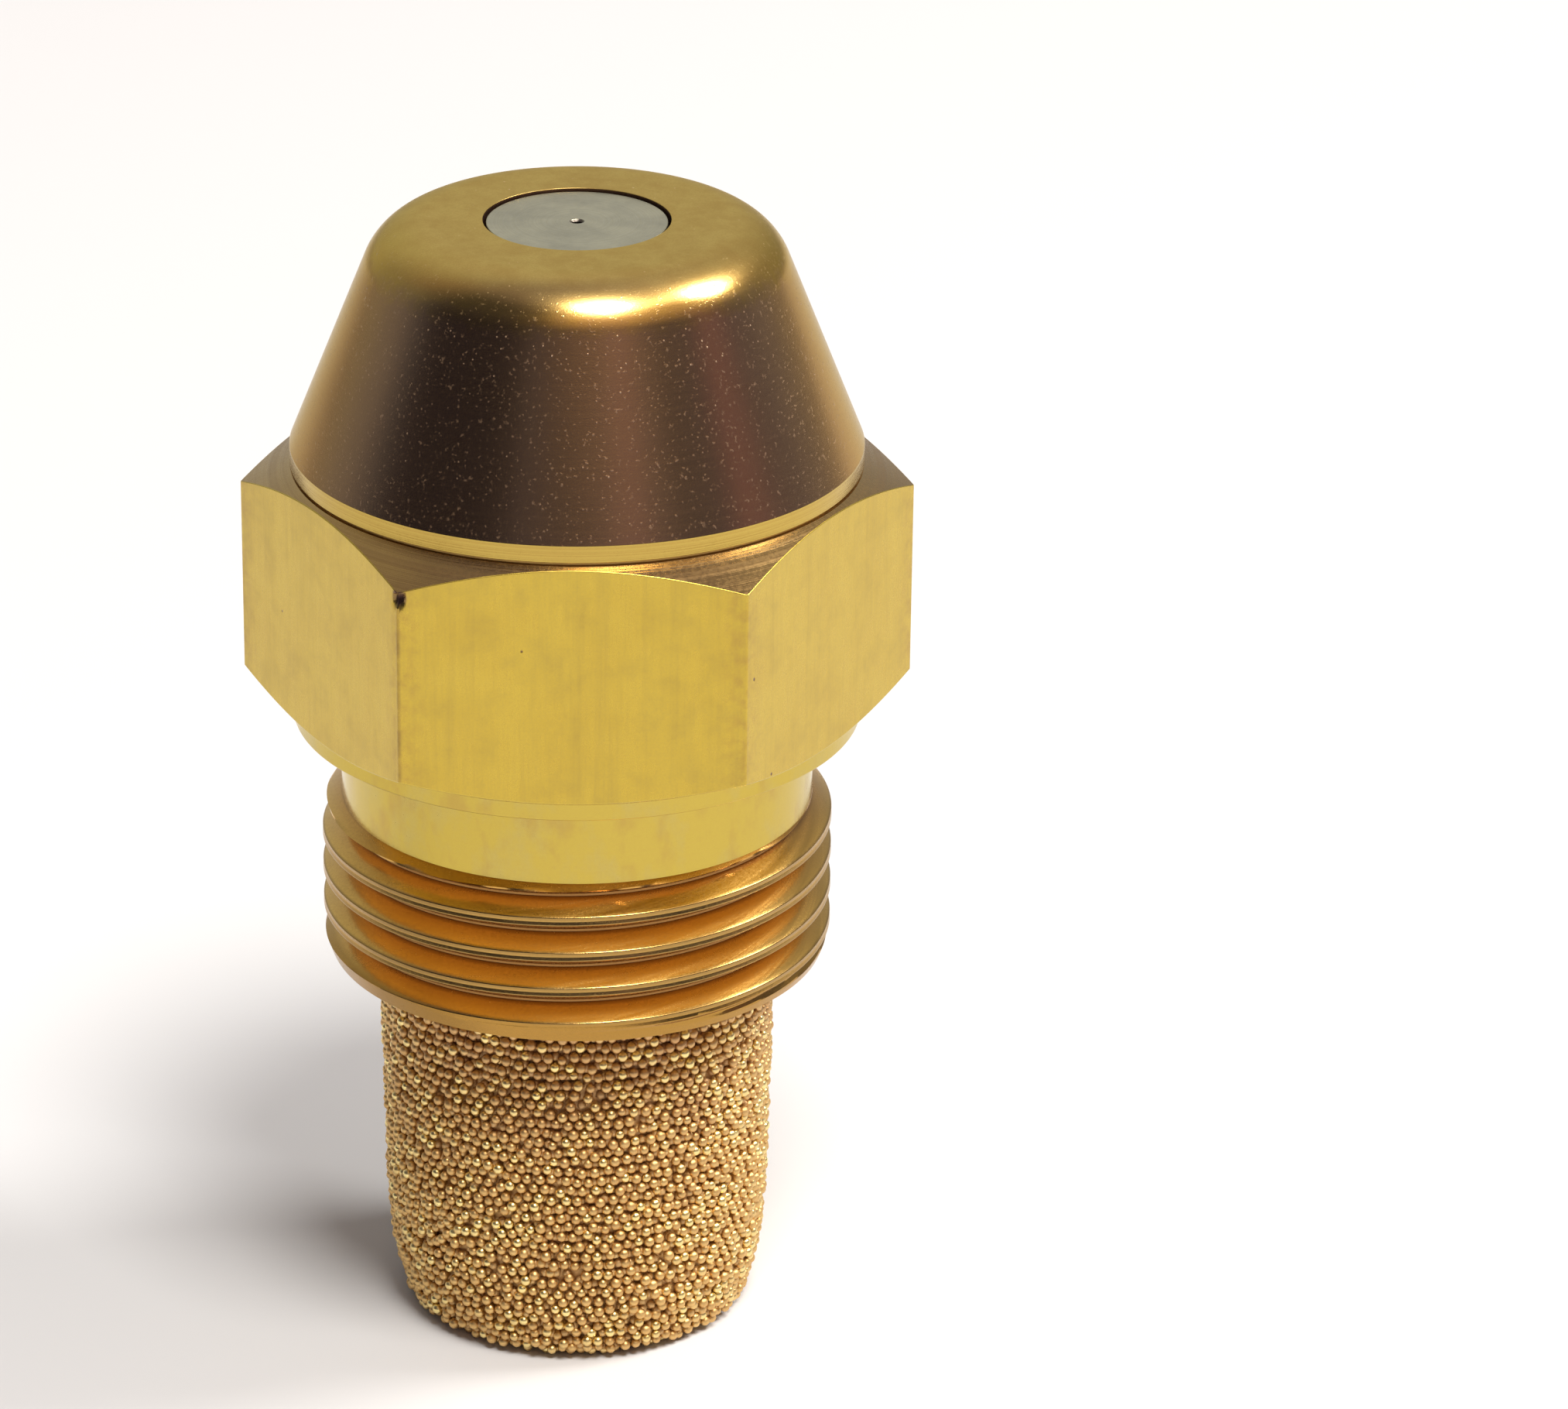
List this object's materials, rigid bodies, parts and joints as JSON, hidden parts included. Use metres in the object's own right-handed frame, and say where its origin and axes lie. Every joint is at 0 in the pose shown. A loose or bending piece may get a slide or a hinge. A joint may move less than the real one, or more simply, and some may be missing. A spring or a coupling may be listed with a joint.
{
  "type": "oil burner nozzle",
  "caption": "Pressure-atomising burner nozzle: coned brass hexagon body with an outside thread, steel orifice disc, slotted distributor, hollow lock screw and sintered bronze filter.",
  "frame": {"origin": "centre of the filter's flat bottom, on which the nozzle stands", "axes": "+Z along the nozzle's axis, out of the orifice in the direction of the spray; -Y out of one hexagon flat; +X through a hexagon corner"},
  "size_m": [0.0184, 0.016, 0.0323],
  "materials": {
    "body_brass": "turned and bright, satin face, drawn hexagon flats",
    "disc_steel": "satin, faced on a lathe",
    "distributor_steel": "fine turned",
    "screw_brass": "turned",
    "sintered_bronze": "sintered balls"
  },
  "bodies": {
    "body": {"nozzle_body": "body_brass"},
    "disc": {"orifice_disc": "disc_steel"},
    "distributor": {"distributor": "distributor_steel"},
    "lock_screw": {"lock_screw": "screw_brass"},
    "filter": {"sintered_filter": "sintered_bronze"}
  },
  "joints": [
    {"name": "filter_pull", "type": "slide", "parent": "body", "child": "filter", "axis": [0, 0, -1], "range_m": [0, 0.004]},
    {"name": "disc_drop", "type": "slide", "parent": "body", "child": "disc", "axis": [0, 0, -1], "range_m": [0, 0.0075]},
    {"name": "distributor_travel", "type": "slide", "parent": "body", "child": "distributor", "axis": [0, 0, -1], "range_m": [0, 0.0075]},
    {"name": "lock_screw_turn", "type": "hinge", "parent": "distributor", "child": "lock_screw", "pos_m": [0, 0, 0.0204], "axis": [0, 0, -1], "range_deg": [0, 3600]}
  ],
  "couplings": [
    {"joint": "lock_screw_turn", "follows": "distributor_travel", "rad_per_m": 8377.6},
    {"joint": "disc_drop", "follows": "distributor_travel", "ratio": 1}
  ]
}
